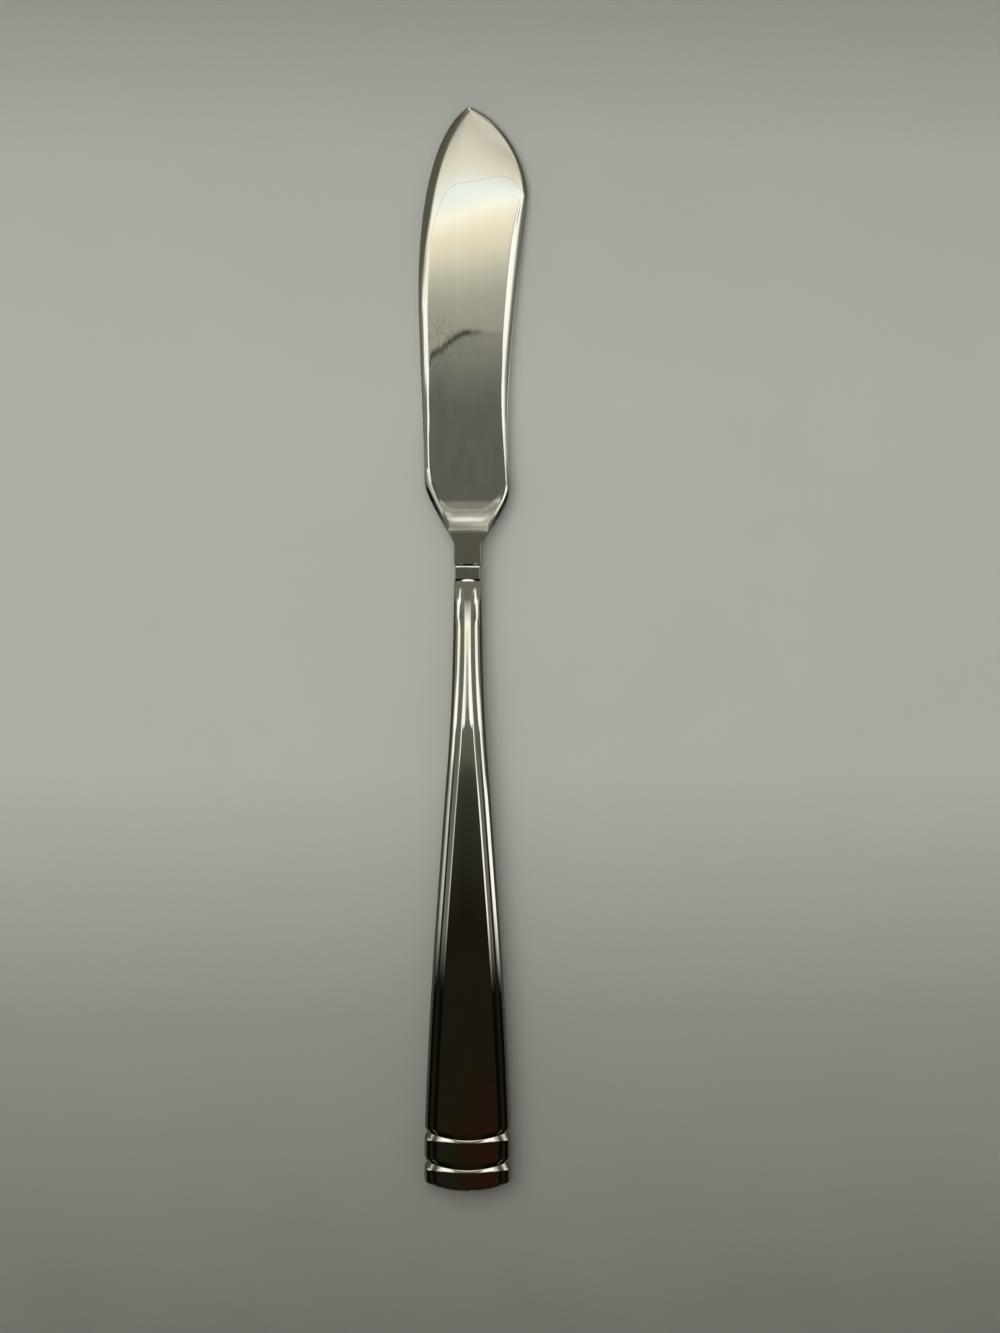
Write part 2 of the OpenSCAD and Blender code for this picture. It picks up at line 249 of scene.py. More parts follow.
def meshObject(name, points, faces, material):
    mesh = bpy.data.meshes.new(name)
    mesh.from_pydata([tuple(map(float, p)) for p in points], [], faces)
    mesh.materials.append(material)
    mesh.update()
    made = bpy.data.objects.new(name, mesh)
    bpy.context.scene.collection.objects.link(made)
    return made


# Smooth shading that stays crisp at the creases
def shadeSmooth(made, crease):
    mesh = made.data
    mesh.polygons.foreach_set("use_smooth", [True] * len(mesh.polygons))
    mesh.set_sharp_from_angle(angle=math.radians(crease))


def finishPiece(made, node):
    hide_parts(node)
    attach(made, "root")
    print("made", made.name, len(made.data.polygons), "faces")


# Where the butt end, the mouth, the band, the seam and the centre line lie, read from the frame
shellLow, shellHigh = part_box("handle_front_shell")
collarLow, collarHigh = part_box("neck_collar")
brazeLow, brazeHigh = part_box("seam_braze")
centreX = (shellLow.x + shellHigh.x) / 2
buttY = shellLow.y
mouthY = shellHigh.y
seamZ = (brazeLow.z + brazeHigh.z) / 2


# A new material, its tree and the place on its piece
def newMaterial(name):
    material = bpy.data.materials.new(name)
    tree = Tree(material)
    return material, tree, tree.add("ShaderNodeTexCoord", output="Object")


steelLook = {
    "colour": (0.76, 0.75, 0.72, 1),
    "smudgeColour": (0.70, 0.685, 0.65, 1),
    "smudgeScale": 60,
    "smudgeStart": 0.48,
    "smudgeSharpness": 3,
    "smudgeShade": 0.5,
    "brushScale": (2600, 34, 500),
    "scratchScale": (900, 22, 300),
    "scratchPlace": (0.3, 0.1, 0),
    "scratchStart": 0.62,
    "scratchSharpness": 9,
    "scratchHaze": 0.5,
    "scratchHeight": 0.4,  # the scratches' share of the bump, whose rest is the brushing
    "bumpStrength": 0.35,
    "bumpDistance": 0.004 * mm,
}


# Polished stainless steel: fine lengthwise brushing, hair scratches and the haze of handling
def steelMaterial(name, roughness, brushing, haze, marksAndPaintedReflectionRule=None):
    look = SimpleNamespace(**steelLook)
    material, tree, place = newMaterial(name)
    brush = tree.noise(tree.stretched(place, look.brushScale), 1, detail=3)
    scratch = tree.noise(tree.stretched(place, look.scratchScale, look.scratchPlace), 1, detail=2)
    cloud = tree.noise(place, look.smudgeScale, detail=4, roughness=0.6)
    scratches = limited((scratch - look.scratchStart) * look.scratchSharpness)
    smudges = limited((cloud - look.smudgeStart) * look.smudgeSharpness)
    rough = roughness + (brush - 0.5) * brushing + smudges * haze
    rough = rough + scratches * brushing * look.scratchHaze
    colour = tree.mixColours(smudges * look.smudgeShade, look.colour, look.smudgeColour)
    # An optional rule adds more marks; on the blade it also paints a reflection edge and tint into the
    # colour
    if marksAndPaintedReflectionRule:
        rough, colour = marksAndPaintedReflectionRule(tree, place, rough, colour)
    bump = tree.bump(steelLook, mix(brush, scratches, look.scratchHeight))
    shader = tree.add("ShaderNodeBsdfPrincipled", {}, {
        "Base Color": colour, "Metallic": 1, "Roughness": rough, "Normal": bump,
    })
    tree.add("ShaderNodeOutputMaterial", {}, {"Surface": shader})
    return material


# Places in millimetres. A pair gives where a change starts or ends, and the run that it takes
wearAndPaintedReflection = {
    "lineRise": 75.2,  # where the painted reflection edge line crosses the blade's middle
    "lineSlope": 0.19,
    "slopeFrom": -3,
    "slopeTo": 5,
    "leftFallFrom": -1.6,
    "leftFall": 0.245,
    "leftPower": 2.4,
    "rightFallFrom": 5.9,
    "rightFall": 0.3,
    "lineWidth": 0.1,
    "lineShade": 0.5,
    "lineColour": (0.32, 0.35, 0.35, 1),
    "filmFoot": (70.6, 1.4),  # the paler bluish painted reflection tint that ends at the line
    "filmEdge": 0.3,
    "filmShade": 0.5,
    "filmColour": (0.72, 0.765, 0.765, 1),
    "streakScale": (900, 22, 300),
    "streakContrast": 3,
    "streakShade": 0.1,
    "streakColour": (0.52, 0.52, 0.51, 1),
    "scuffCentre": (-4.4, 48.5),
    "scuffReach": (3.2, 6),
    "scuffFullness": 1.25,
    "scuffStretch": (1, 0.3, 1),
    "scuffScale": 3200,
    "scuffSharpness": 9,
    "scuffShade": 0.45,
    "scuffColour": (0.36, 0.36, 0.36, 1),
    "scuffHaze": 0.01,
    "markCentre": 37,  # cloudy marks over the lower half
    "markReach": 14,
    "markFullness": 1.4,
    "markStretch": (1, 0.4, 1),
    "markScale": 330,
    "markStart": 0.45,
    "markSharpness": 5,
    "markShade": 0.4,
    "markColour": (0.52, 0.52, 0.52, 1),
    "markHaze": 0.006,
    "rampTop": (18, 0.6),  # the duller ramp between the neck and the face
    "rampFoot": (24.2, 1.2),
    "rampHaze": 0.2,
}


# What use has left on the blade, streaks, a patch of fine scuffs and cloudy marks, together with painted
# reflection: a dark painted line at the edge of the bright reflection and a paler bluish painted tint below
# it
def bladeWearAndPaintedReflection(tree, place, rough, colour):
    w = SimpleNamespace(**wearAndPaintedReflection)
    axes = tree.axes(place)
    x, y = (axes.pick("X") - centreX) / mm, axes.pick("Y") / mm
    leftFall = larger(w.leftFallFrom - x, 0)
    rightFall = larger(x - w.rightFallFrom, 0)
    rise = w.lineRise + w.lineSlope * smaller(larger(x, w.slopeFrom), w.slopeTo)
    rise = rise - w.leftFall * leftFall ** w.leftPower - w.rightFall * rightFall ** 2
    leftSlope = w.leftFall * w.leftPower * leftFall ** (w.leftPower - 1)
    rightSlope = w.rightFall * 2 * rightFall
    gap = (y - rise) / rootOf(1 + leftSlope ** 2 + rightSlope ** 2)
    # Painted reflection: a dark line where the bright reflection of the ceiling ends
    line = limited(1 - plainSize(gap) / w.lineWidth)
    # Painted reflection: a paler bluish tint below that line
    film = before(gap, w.filmEdge / 2, w.filmEdge) * past(y, *w.filmFoot)
    streak = tree.noise(tree.stretched(place, w.streakScale), 1, detail=2)
    streaks = limited((streak - 0.5) * w.streakContrast + 0.5)
    speckle = tree.noise(tree.stretched(place, w.scuffStretch), w.scuffScale, detail=4, roughness=0.7)
    across = (x - w.scuffCentre[0]) / w.scuffReach[0]
    along = (y - w.scuffCentre[1]) / w.scuffReach[1]
    patch = limited(w.scuffFullness - across * across - along * along)
    scuffs = limited((speckle - 0.5) * w.scuffSharpness) * patch
    cloud = tree.noise(tree.stretched(place, w.markStretch), w.markScale, detail=5, roughness=0.65)
    lowerHalf = limited(w.markFullness - plainSize(y - w.markCentre) / w.markReach)
    marks = limited((cloud - w.markStart) * w.markSharpness) * lowerHalf
    # The painted reflection line and tint are mixed into the colour along with the real streaks, scuffs and
    # marks
    layers = {"streak": streaks, "film": film, "line": line, "scuff": scuffs, "mark": marks}
    for name, share in layers.items():
        colour = tree.mixColours(share * wearAndPaintedReflection[name + "Shade"], colour, wearAndPaintedReflection[name + "Colour"])
    onRamp = past(y, *w.rampTop) * before(y, *w.rampFoot)
    rough = rough + marks * w.markHaze + scuffs * w.scuffHaze + onRamp * w.rampHaze
    return rough, colour


bladeSteel = steelMaterial("bladeSteel", roughness=0.013, brushing=0.006, haze=0.006, marksAndPaintedReflectionRule=bladeWearAndPaintedReflection)
bandSteel = steelMaterial("bandSteel", roughness=0.1, brushing=0.03, haze=0.03)
handleSteel = steelMaterial("handleSteel", roughness=0.02, brushing=0.01, haze=0.01)


brazeLook = {
    "name": "brazeMetal",
    "grainScale": 1800,
    "grainDetail": 2,
    "grainRoughness": 0.5,
    "dark": (0.66, 0.60, 0.47, 1),
    "light": (0.74, 0.71, 0.62, 1),
    "metallic": 1,
    "roughness": 0.22,
    "roughnessRange": 0.12,
}
fillerLook = {
    "name": "castFiller",
    "grainScale": 2400,
    "grainDetail": 5,
    "grainRoughness": 0.65,
    "dark": (0.44, 0.41, 0.36, 1),
    "light": (0.62, 0.58, 0.52, 1),
    "metallic": 0,
    "roughness": 0.75,
    "roughnessRange": 0.15,
    "bumpStrength": 0.5,
    "bumpDistance": 0.05 * mm,
}


# The braze of the seam and the cast filler in the handle: grain between a dark and a light tone
def grainedMaterial(look):
    material, tree, place = newMaterial(look["name"])
    grain = tree.noise(place, look["grainScale"], look["grainDetail"], look["grainRoughness"])
    sockets = {
        "Base Color": tree.mixColours(grain, look["dark"], look["light"]), "Metallic": look["metallic"],
        "Roughness": look["roughness"] + grain * look["roughnessRange"],
    }
    if "bumpStrength" in look:
        sockets["Normal"] = tree.bump(look, grain)
    shader = tree.add("ShaderNodeBsdfPrincipled", {}, sockets)
    tree.add("ShaderNodeOutputMaterial", {}, {"Surface": shader})
    return material


for node, look in (("seam_braze", brazeLook), ("tang_cement", fillerLook)):
    frame["nodes"][node].data.materials.clear()
    frame["nodes"][node].data.materials.append(grainedMaterial(look))
print("materials made")


handle = {
    "length": 98.5 * mm,
    "endWidth": 13.9 * mm,
    "mouthWidth": 4.3 * mm,
    "mouthHeight": 1.58 * mm,
    "sideRounding": 0.4 * mm,
    "sideDrop": 0.65,
    "ledgeWidth": 1.2 * mm,
    "ledgeRise": 0.35 * mm,
    "ledgeShare": 0.5,  # of the half width, at most
    "shoulderWidth": 0.9 * mm,
    "shoulderRise": 0.38 * mm,
    "shoulderShare": 0.36,
    "wall": 0.5 * mm,
    "leastHollow": 0.25,  # of the wall, between the skin inside and the seam
    "seamGap": 0.05 * mm,
    "endBow": 1.3 * mm,
    "bowRun": 0.5,  # of the length, over which the grooves' bow dies out
    "cornerRadius": 0.55 * mm,
    "firstGroove": 4.7 * mm,
    "groovePitch": 4.8 * mm,
    "grooveSideDepth": 0.45 * mm,
    "grooveTopDepth": 0.32 * mm,
    "outlineFlank": 0.75 * mm,
    "middleFlank": 0.35 * mm,
    "ledgeFlank": 1.25 * mm,
    "flankPower": 3,
    "grooveRoll": 0.9 * mm,
    "groovePower": 1.15,
    "mouthBevel": 0.36 * mm,
    "mouthDrop": 0.163 * mm,
    "blendStart": 0.8 * mm,
    "blendLength": 7 * mm,
    "barRoundWidth": 2.1 * mm,
    "barRoundHeight": 0.55 * mm,
    "barPower": 1.6,
    "mouthRoundness": 0.72,
    "roundLength": 14 * mm,
}
# Shares of the length from the butt end, and of the step there from the mouth's size to the full size
handleWidthShares = [(0, 1), (0.12, 0.975), (0.35, 0.742), (0.6, 0.381), (0.76, 0.138), (0.86, 0.056),
                     (1, 0)]
frontShell = {
    "facing": 1,
    "fullHeight": 3.6995 * mm,
    "crown": 0.45 * mm,
    "restDepth": 20 * mm,
    "heightShares": [(0, 0.88), (0.12, 0.98), (0.4, 1), (0.64, 1), (0.7, 0.976), (0.74, 0.91), (0.78, 0.795),
                     (0.86, 0.538), (0.9, 0.403), (0.935, 0.28), (0.965, 0.16), (1, 0)],
}
backShell = {
    "facing": -1,
    "fullHeight": 2.39 * mm,
    "crown": 0.28 * mm,
    "restDepth": 2.3 * mm,
    "heightShares": [(0, 0.9), (0.12, 1), (0.35, 1), (0.6, 0.82), (0.76, 0.4), (0.86, 0.18), (1, 0)],
}
grooveCount = 2
handleMesh = {
    "cornerRows": 9,
    "plainRows": 7,
    "flankRows": 25,
    "rollRows": 14,
    "rollPacking": 1.4,
    "bodyRows": 189,
    "bevelRows": (0.1, 0.2, 0.6, 1),
    "sideColumns": 6,
    "sidePacking": 1.3,
    "ledgeColumns": 8,
    "shoulderColumns": 11,
    "crownColumns": 10,
    "creaseAngle": 14,
}


# Rows along the handle, closer together where it is worked
def handleRows():
    h, counts = handle, handleMesh
    corner = np.linspace(0, math.pi / 2, counts["cornerRows"])
    rows = [h["endBow"] + h["cornerRadius"] * (1 - np.cos(corner))]
    reached = rows[0][-1]
    for i in range(grooveCount):
        bottom = h["firstGroove"] + i * h["groovePitch"]
        start = bottom - h["ledgeFlank"]
        rows.append(stepsTo(reached, start, counts["plainRows"]))
        rows.append(stepsTo(start, bottom, counts["flankRows"]))
        rows.append(bottom + h["grooveRoll"] * stepsTo(0, 1, counts["rollRows"]) ** counts["rollPacking"])
        reached = bottom + h["grooveRoll"]
    bevelStart = h["length"] - h["mouthBevel"]
    rows.append(stepsTo(reached, bevelStart, counts["bodyRows"]))
    rows.append(bevelStart + h["mouthBevel"] * np.array(counts["bevelRows"]))
    return np.concatenate(rows)


# Columns across it, counted inwards from either side: rounded side, ledge, shoulder and crown
def handleColumns():
    counts = handleMesh
    side = np.linspace(0, 1, counts["sideColumns"]) ** counts["sidePacking"]
    ledge = stepsTo(1, 2, counts["ledgeColumns"])
    shoulder = stepsTo(2, 3, counts["shoulderColumns"])
    crown = stepsTo(3, 4, counts["crownColumns"])
    zones = np.concatenate([side, ledge, shoulder, crown])
    return np.concatenate([zones - 4, (4 - zones[:-1])[::-1]])


# The flat plan of a shell: a skin outside, a skin inside and the edges that join them
def shellPlan(shell):
    rows, columns = handleRows(), handleColumns()
    inside = handle["endBow"] + handle["wall"]
    settled = handle["firstGroove"] - handle["ledgeFlank"]
    innerRows = np.where(rows < settled, mix(inside, settled, (rows - rows[0]) / (settled - rows[0])), rows)
    ring = [(c, 0, 0) for c in columns] + [(columns[-1], 0, 1), (columns[-1], 1, 1)]
    ring += [(c, 1, 0) for c in columns[::-1]] + [(columns[0], 1, 1), (columns[0], 0, 1)]
    plan = []
    for outer, inner in zip(rows, innerRows):
        plan += [(inner if skin else outer, c, skin, seam) for c, skin, seam in ring]
    m, n, k = len(ring), len(rows), len(columns)
    faces = ringFaces(n, m)
    outerTop = list(range(k))
    innerTop = [k + 2 + (k - 1 - j) for j in range(k)]
    outerLow = [m - 1] + [len(plan) + j - 1 for j in range(1, k - 1)] + [k]
    plan += [(rows[0], c, 0, 1) for c in columns[1:-1]]
    innerLow = [m - 2] + [len(plan) + j - 1 for j in range(1, k - 1)] + [k + 1]
    plan += [(innerRows[0], c, 1, 1) for c in columns[1:-1]]
    for a, b in ((outerLow, outerTop), (innerLow, outerLow), (innerTop, innerLow)):
        faces += [(a[j], a[j + 1], b[j + 1], b[j]) for j in range(k - 1)]
    last = (n - 1) * m
    faces += [(last + outerTop[j], last + outerTop[j + 1], last + innerTop[j + 1], last + innerTop[j])
              for j in range(k - 1)]
    faces += [(last + m - 1, last, last + innerTop[0], last + m - 2)]
    faces += [(last + k - 1, last + k, last + k + 1, last + k + 2)]
    if shell["facing"] > 0:
        faces = [face[::-1] for face in faces]
    return np.array(plan), faces


# The rule that presses a plan into a shell, as a node tree with the sizes as its inputs
def pressTree(material):
    group = bpy.data.node_groups.new("pressedShell", "GeometryNodeTree")
    tree = Tree(group)
    group.interface.new_socket("Plan", in_out="INPUT", socket_type="NodeSocketGeometry")
    group.interface.new_socket("Shell", in_out="OUTPUT", socket_type="NodeSocketGeometry")
    names = [*handle, "facing", "fullHeight", "crown", "restDepth"]
    for name in names:
        group.interface.new_socket(name, in_out="INPUT", socket_type="NodeSocketFloat")
    given = tree.add("NodeGroupInput")
    s = SimpleNamespace(**{name: given.pick(name) for name in names})

    def attribute(name):
        return tree.add("GeometryNodeInputNamedAttribute", {"data_type": "FLOAT"}, {"Name": name})

    station, across = attribute("station"), attribute("across")
    inner, seam = attribute("inner"), attribute("seam")

    # How deep the saw-tooth grooves are here: a long flank, then a rounded edge
    def grooveCut(flank):
        cut = 0
        for i in range(grooveCount):
            beyond = station - s.firstGroove - i * s.groovePitch
            rolled = limited(1 - beyond / s.grooveRoll) ** s.groovePower
            cut = larger(cut, smaller(limited(1 + beyond / flank), rolled))
        return cut

    corner = limited(1 - (station - s.endBow) / s.cornerRadius)
    drawnIn = s.cornerRadius * (1 - rootOf(1 - corner * corner))
    drawnIn = drawnIn + s.mouthDrop * limited(1 - (s.length - station) / s.mouthBevel)
    half = mix(s.mouthWidth, s.endWidth, attribute("widthShare")) / 2 - drawnIn
    half = half - s.grooveSideDepth * grooveCut(s.outlineFlank)
    ledge = smaller(s.ledgeWidth, half * s.ledgeShare)
    shoulder = smaller(s.shoulderWidth, half * s.shoulderShare)
    panel = half - ledge - shoulder
    zone = 4 - plainSize(across)
    outerStep = s.sideRounding * limited(zone) + (ledge - s.sideRounding) * limited(zone - 1)
    innerStep = s.wall + (ledge - s.wall) * limited(zone / 2)
    fromSide = mix(outerStep, innerStep, inner) + shoulder * limited(zone - 2) + panel * limited(zone - 3)
    x = half - fromSide

    topCut = grooveCut(mix(s.middleFlank, s.ledgeFlank, (x / half) ** s.flankPower))
    tall = mix(s.mouthHeight, s.fullHeight, attribute("heightShare"))
    tall = tall - s.grooveTopDepth * topCut - drawnIn
    arch = s.crown * 2 * panel / s.endWidth
    top = tall - arch * smaller(1, (x / panel) ** 2)
    edge = tall - arch - s.shoulderRise - s.ledgeRise
    side = edge * (1 - s.sideDrop * (1 - limited(fromSide / s.sideRounding)) ** 2)
    low = side + s.ledgeRise * (1 - (1 - limited(fromSide / ledge)) ** 2)
    turned = sineOf(limited((fromSide - ledge) / shoulder) * (math.pi / 2))
    rounded = limited(fromSide / s.barRoundWidth)
    fromMouth = s.length - station
    roundness = mix(s.mouthRoundness, 1, past(fromMouth, s.mouthBevel, s.roundLength))
    bar = tall - s.barRoundHeight * roundness * (1 - rounded) ** s.barPower
    skin = mix(bar, mix(low, top, turned), past(fromMouth, s.blendStart, s.blendLength))
    hollow = larger(skin - s.wall, s.wall * s.leastHollow)
    z = smaller(mix(skin, hollow, inner) * (1 - seam), s.restDepth - s.seamGap) + s.seamGap

    settle = past(station, s.firstGroove + s.groovePitch, s.length * s.bowRun)
    bow = s.endBow * (1 - settle) * (1 - (x / half) ** 2)
    place = tree.add("ShaderNodeCombineXYZ", {}, {
        0: centreX + signOf(across) * x, 1: buttY + station - bow, 2: seamZ + s.facing * z,
    })
    shell = tree.add("GeometryNodeSetPosition", {}, {"Geometry": given.pick("Plan"), "Position": place})
    smooth = {"Geometry": shell, "Shade Smooth": True}
    shell = tree.add("GeometryNodeSetShadeSmooth", {"domain": "FACE"}, smooth)
    angle = tree.add("GeometryNodeInputMeshEdgeAngle")
    crease = math.radians(handleMesh["creaseAngle"])
    crisp = tree.add("FunctionNodeCompare", {"operation": "GREATER_THAN"}, {0: angle, 1: crease})
    creased = {"Geometry": shell, "Selection": crisp, "Shade Smooth": False}
    shell = tree.add("GeometryNodeSetShadeSmooth", {"domain": "EDGE"}, creased)
    shell = tree.add("GeometryNodeRealizeInstances", {}, {"Geometry": shell})
    shell = tree.add("GeometryNodeSetMaterial", {}, {"Geometry": shell, "Material": material})
    tree.add("NodeGroupOutput", {}, {"Shell": shell})
    return group


def shellPiece(name, shell, group, material):
    plan, faces = shellPlan(shell)
    made = meshObject(name, [(c * mm, row, inner * mm) for row, c, inner, seam in plan], faces, material)
    share = plan[:, 0] / handle["length"]
    fields = {
        "station": plan[:, 0], "across": plan[:, 1], "inner": plan[:, 2], "seam": plan[:, 3],
        "widthShare": smoothAt(handleWidthShares, share),
        "heightShare": smoothAt(shell["heightShares"], share),
    }
    for field, values in fields.items():
        attribute = made.data.attributes.new(field, "FLOAT", "POINT")
        attribute.data.foreach_set("value", values.astype(np.float32))
    modifier = made.modifiers.new("press", "NODES")
    modifier.node_group = group
    sizes = {**handle, **shell}
    for item in group.interface.items_tree:
        if item.in_out == "INPUT" and item.name in sizes:
            modifier[item.identifier] = float(sizes[item.name])
    bpy.context.view_layer.update()
    evaluated = made.evaluated_get(bpy.context.evaluated_depsgraph_get())
    pressed = bpy.data.meshes.new_from_object(evaluated)
    made.modifiers.clear()
    made.data = pressed
    for field in fields:
        pressed.attributes.remove(pressed.attributes[field])
    return made


pressGroup = pressTree(handleSteel)
handleFront = shellPiece("handleFront", frontShell, pressGroup, handleSteel)
finishPiece(handleFront, "handle_front_shell")
handleBack = shellPiece("handleBack", backShell, pressGroup, handleSteel)
finishPiece(handleBack, "handle_back_shell")


# Faces between rings of equally many points, with the two ends closed
def loftFaces(count, m):
    faces = ringFaces(count, m)
    last = (count - 1) * m
    for j in range(m // 2 - 1):
        faces.append((j + 1, j, m - 1 - j, m - 2 - j))
        faces.append((last + j, last + j + 1, last + m - 2 - j, last + m - 1 - j))
    return faces


neckBand = {
    "width": 4.1 * mm,
    "thickness": 3 * mm,
    "frontBevel": 0.5 * mm,
    "backBevel": 0.04 * mm,
    "bevelDrop": 0.25 * mm,
    "bevelPower": 1.15,
    "bevelRings": (*np.linspace(0, 1, 7), 1.2),
    "rounding": 0.12 * mm,
    "holeWidth": 2.06 * mm,
    "holeThickness": 1.46 * mm,
    "holeRounding": 0.1 * mm,
    "creaseAngle": 50,
}


# A rounded oblong across the knife at y, as points from the lower left round to the lower right
def oblong(y, width, thickness, radius, steps=8):
    turn = np.linspace(0, math.pi / 2, steps)
    corner = [(1 - math.sin(a), 1 - math.cos(a)) for a in turn]
    left = [(radius * across - width / 2, radius * up - thickness / 2) for across, up in corner]
    left = left + [(x, -z) for x, z in left[::-1]]
    right = [(-x, z) for x, z in left[::-1]]
    return [(centreX + x, y, seamZ + z) for x, z in left + right]


# The band between the neck and the handle, with a hole for the tang
def bandPiece():
    b = SimpleNamespace(**neckBand)
    rings = []
    for toButt in (True, False):
        length = b.backBevel if toButt else b.frontBevel
        end = collarLow.y if toButt else collarHigh.y
        inwards = 1 if toButt else -1
        bevelRings = []
        for share in b.bevelRings:
            inset = b.bevelDrop * max(0, 1 - share) ** b.bevelPower
            y = end + inwards * length * share
            bevelRings.append(oblong(y, b.width - 2 * inset, b.thickness - 2 * inset, b.rounding))
        rings += bevelRings if toButt else bevelRings[::-1]
    for y in (collarHigh.y, collarLow.y):
        rings.append(oblong(y, b.holeWidth, b.holeThickness, b.holeRounding))
    faces = ringFaces(len(rings), len(rings[0]), closed=True)
    points = [point for ring in rings for point in ring]
    made = meshObject("neckBand", points, [face[::-1] for face in faces], bandSteel)
    shadeSmooth(made, b.creaseAngle)
    return made


band = bandPiece()
finishPiece(band, "neck_collar")


bladeSizes = {
    "neckLength": 3.1 * mm,
    "neckWidth": 4.4 * mm,
    "neckThickness": 3.3 * mm,
    "neckBevel": 0.05 * mm,
    "neckCrown": 0.05 * mm,
    "crownLimit": 1.5,
    "neckFadeAcross": (2.4 * mm, 4.5 * mm),  # where its height starts to fade, and over what run
    "neckFadeAlong": (1 * mm, 3 * mm),
    "length": 70.955 * mm,
    "shoulderLength": 10.4 * mm,
    "edgeShoulder": 6.95 * mm,
    "edgeReach": 7.99 * mm,
    "edgeFullAt": 38.7 * mm,
    "spineShoulder": 6.75 * mm,
    "spineReach": 9.54 * mm,
    "spineFullAt": 56 * mm,
    "thickness": 1.6 * mm,
    "tipThickness": 1.15 * mm,
    "leastRim": 0.15 * mm,
    "edgeRounding": 0.2 * mm,
    "tipRounding": 0.04 * mm,
    "roundingFades": (48 * mm, 8 * mm),
    "cornerStarts": (5 * mm, 5 * mm),
    "faceCrown": 0.06 * mm,
    "crownStarts": (2 * mm, 3 * mm),
    "rampTop": 2.3 * mm,
    "rampFoot": 5.8 * mm,
    "rampTurn": 2 * mm,
    "rampCurve": 0.3 / mm,
    "tipX": 0.155 * mm,
    "tangWidth": 2 * mm,
    "tangThickness": 1.4 * mm,
    "tangEndWidth": 1.3 * mm,
    "tangEndThickness": 1 * mm,
    "tangLength": 42 * mm,
    "tangRoot": 0.5 * mm,
    "tangRounding": 0.1 * mm,
}
bladeMesh = {
    "neckRows": 13,
    "shoulderRows": 111,
    "sideRows": 101,
    "tipRows": 91,
    "roundingColumns": 8,
    "rollColumns": 24,
    "rollPacking": 1.25,
    "rollReach": 2.5 * mm,
    "narrowShare": 0.42,  # of the width, the most that one side's columns take
    "faceColumns": 13,
    "creaseAngle": 40,
}
# How the blade rolls off to its two edges: places along it, the roll's width and its depth, in millimetres
edgeRoll = [(0, 0.12, 0.12), (2.2, 0.15, 0.16), (3.2, 0.8, 0.4), (4.6, 1.25, 0.52), (6.5, 1.4, 0.54),
            (8.5, 1.75, 0.45), (10, 1.7, 0.36), (12.5, 1.4, 0.28), (17, 1.5, 0.31), (22, 1.7, 0.38),
            (31.5, 1.75, 0.42), (36.4, 1.8, 0.43), (46, 1.9, 0.45), (54, 1.55, 0.4), (66.5, 1.25, 0.35),
            (71, 0.7, 0.22)]
spineRoll = [(0, 0.12, 0.12), (2.2, 0.15, 0.16), (3.2, 0.8, 0.4), (4.6, 1.25, 0.52), (6, 1.2, 0.48),
             (9, 0.9, 0.27), (12.5, 0.74, 0.17), (17, 0.87, 0.2), (22, 1.2, 0.28), (26.7, 1.45, 0.34),
             (36.4, 1.7, 0.4), (46, 1.9, 0.43), (51, 1.75, 0.42), (57, 1.05, 0.3), (62, 0.85, 0.26),
             (71, 0.7, 0.22)]
rollPower = 2.25
meetPower = 3  # how sharply the two rolls meet at the tip
# The ramp from the neck down to the face: shares of its length and of its drop
rampShares = [(0, 0), (0.1, 0.03), (0.2, 0.085), (0.32, 0.19), (0.42, 0.335), (0.5, 0.487), (0.58, 0.643),
              (0.7, 0.835), (0.8, 0.925), (0.9, 0.972), (1, 1)]
# The two inner points of each plan curve, as shares of the step from its start to its end
edgeShares = [[(0, 0.14), (0.97, 0.67)], [(0.4, 0.31), (0.95, 0.84)], [(-0.02, 0.5), (0.3, 0.885)]]
spineShares = [[(0, 0.16), (1.08, 0.5)], [(-0.43, 0.29), (0.4, 0.67)], [(-0.045, 0.21), (0.21, 0.8)]]


def curveAt(a, b, shares, t):
    a, b = np.array(a), np.array(b)
    p, q = a + (b - a) * shares[0], a + (b - a) * shares[1]
    t = t[:, None]
    return a * (1 - t) ** 3 + p * 3 * t * (1 - t) ** 2 + q * 3 * t * t * (1 - t) + b * t ** 3


# One side of the blade's plan from the neck's foot to the tip, measured from the neck
def sideLine(sign, shoulder, reach, fullAt, bends):
    b = SimpleNamespace(**bladeSizes)
    foot, full = (b.neckWidth / 2, 0), (reach, fullAt)
    turn, tip = (shoulder, b.shoulderLength), (sign * b.tipX, b.length)
    bevelled = (b.neckWidth / 2 - b.neckBevel, -b.neckLength)
    neckY = np.linspace(b.neckBevel - b.neckLength, 0, bladeMesh["neckRows"])[:-1]

    def shares(rowCount):
        return np.linspace(0, 1, rowCount)[:-1]

    line = np.concatenate([
        [bevelled],
        [(b.neckWidth / 2, y) for y in neckY],
        curveAt(foot, turn, bends[0], shares(bladeMesh["shoulderRows"])),
        curveAt(turn, full, bends[1], shares(bladeMesh["sideRows"])),
        curveAt(full, tip, bends[2], np.sin(shares(bladeMesh["tipRows"]) * math.pi / 2)),
    ])
    return line * (sign, 1)


# Distance from points in plan to a line of points
def distanceTo(line, points):
    best = np.full(len(points), np.inf)
    for a, b in zip(line[:-1], line[1:]):
        run = b - a
        share = np.clip(((points - a) @ run) / max(run @ run, 1e-18), 0, 1)
        gap = points - a - share[:, None] * run
        best = np.minimum(best, np.einsum("ij,ij->i", gap, gap))
    return np.sqrt(best)


